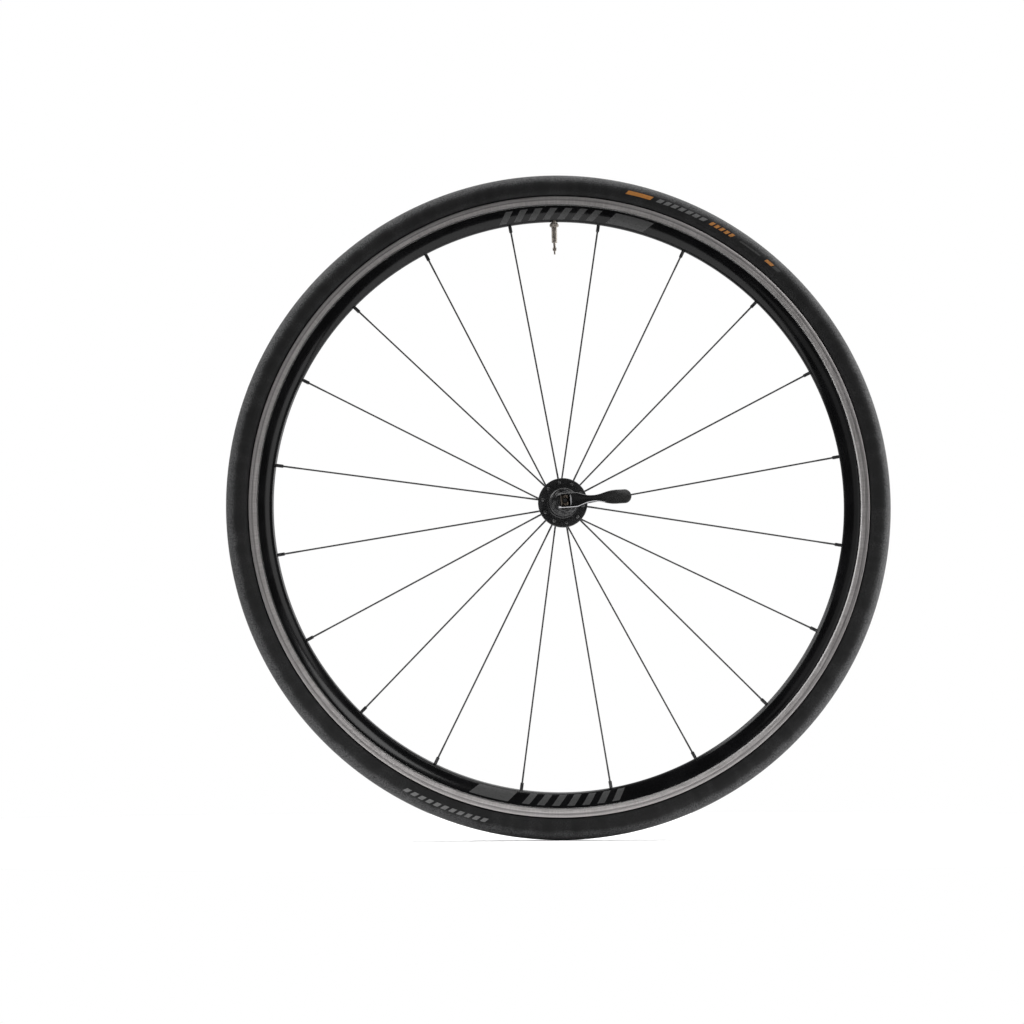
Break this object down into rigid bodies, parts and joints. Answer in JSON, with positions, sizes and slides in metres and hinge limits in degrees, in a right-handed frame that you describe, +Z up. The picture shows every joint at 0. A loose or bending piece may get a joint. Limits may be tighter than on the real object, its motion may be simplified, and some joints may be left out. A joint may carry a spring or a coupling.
{
  "type": "bicycle front wheel",
  "caption": "Road racing bicycle front wheel: clincher tyre on a deep black rim with bare braking tracks, radial spokes, small hub and quick-release lever.",
  "frame": {"origin": "the wheel's centre: on the axle's axis, in the rim's mid-plane", "axes": "+Y along the axle, from the quick-release lever's side to the adjusting nut's side; +Z up; +X the way the closed lever points"},
  "size_m": [0.6786, 0.1448, 0.6786],
  "materials": {
    "tyre_rubber": "dusty matt tread, darker satin sidewall",
    "tube_rubber": "smooth satin",
    "rim_tape_cloth": "woven cotton",
    "rim_black": "gloss black paint with a bare machined braking track",
    "spoke_black": "black oxide, satin",
    "nipple_black": "black anodised, satin",
    "hub_black": "black anodised, finely speckled",
    "bearing_steel": "ground and polished",
    "axle_alloy": "turned, bare",
    "cap_black": "black anodised, turned",
    "clamp_grey": "grey, serrated",
    "rod_steel": "drawn",
    "barrel_bronze": "bronze-brown, turned",
    "lever_black": "black with bare machined edges",
    "valve_nickel": "dull nickel plate"
  },
  "bodies": {
    "axle": {"axle": "axle_alloy", "end_cap_near": "cap_black", "end_cap_far": "cap_black", "bearing_inner_ring_near": "bearing_steel", "bearing_inner_ring_far": "bearing_steel"},
    "wheel": {"tyre": "tyre_rubber", "inner_tube": "tube_rubber", "rim_tape": "rim_tape_cloth", "rim": "rim_black", "hub_shell": "hub_black", "bearing_outer_ring_near": "bearing_steel", "bearing_outer_ring_far": "bearing_steel", "valve_stem": "valve_nickel", "valve_ring_nut": "valve_nickel", "spoke_near_01": "spoke_black", "spoke_near_02": "spoke_black", "spoke_near_03": "spoke_black", "spoke_near_04": "spoke_black", "spoke_near_05": "spoke_black", "spoke_near_06": "spoke_black", "spoke_near_07": "spoke_black", "spoke_near_08": "spoke_black", "spoke_near_09": "spoke_black", "spoke_near_10": "spoke_black", "spoke_far_01": "spoke_black", "spoke_far_02": "spoke_black", "spoke_far_03": "spoke_black", "spoke_far_04": "spoke_black", "spoke_far_05": "spoke_black", "spoke_far_06": "spoke_black", "spoke_far_07": "spoke_black", "spoke_far_08": "spoke_black", "spoke_far_09": "spoke_black", "spoke_far_10": "spoke_black", "nipple_near_01": "nipple_black", "nipple_near_02": "nipple_black", "nipple_near_03": "nipple_black", "nipple_near_04": "nipple_black", "nipple_near_05": "nipple_black", "nipple_near_06": "nipple_black", "nipple_near_07": "nipple_black", "nipple_near_08": "nipple_black", "nipple_near_09": "nipple_black", "nipple_near_10": "nipple_black", "nipple_far_01": "nipple_black", "nipple_far_02": "nipple_black", "nipple_far_03": "nipple_black", "nipple_far_04": "nipple_black", "nipple_far_05": "nipple_black", "nipple_far_06": "nipple_black", "nipple_far_07": "nipple_black", "nipple_far_08": "nipple_black", "nipple_far_09": "nipple_black", "nipple_far_10": "nipple_black"},
    "valve_core": {"valve_core": "valve_nickel"},
    "clamp": {"clamp_washer": "clamp_grey"},
    "skewer": {"skewer_rod": "rod_steel", "pivot_barrel": "barrel_bronze"},
    "lever": {"lever": "lever_black"},
    "nut": {"adjusting_nut": "lever_black"}
  },
  "joints": [
    {"name": "wheel_spin", "type": "hinge", "parent": "axle", "child": "wheel", "pos_m": [0, 0, 0], "axis": [0, 1, 0], "continuous": true},
    {"name": "valve_press", "type": "slide", "parent": "wheel", "child": "valve_core", "axis": [-0.0166, 0, 0.9999], "range_m": [0, 0.002], "stiffness_N_per_m": 600},
    {"name": "skewer_turn", "type": "hinge", "parent": "axle", "child": "clamp", "pos_m": [0, 0, 0], "axis": [0, 1, 0], "continuous": true},
    {"name": "skewer_slide", "type": "slide", "parent": "clamp", "child": "skewer", "axis": [0, 1, 0], "range_m": [0, 0.0016]},
    {"name": "lever_flip", "type": "hinge", "parent": "skewer", "child": "lever", "pos_m": [0, -0.0696, 0], "axis": [0.0698, 0, -0.9976], "range_deg": [0, 180]},
    {"name": "nut_turn", "type": "hinge", "parent": "skewer", "child": "nut", "pos_m": [0, 0.06, 0], "axis": [0, 1, 0], "continuous": true}
  ],
  "couplings": [
    {"joint": "skewer_slide", "follows": "lever_flip", "m_per_rad": 0.00050929}
  ]
}
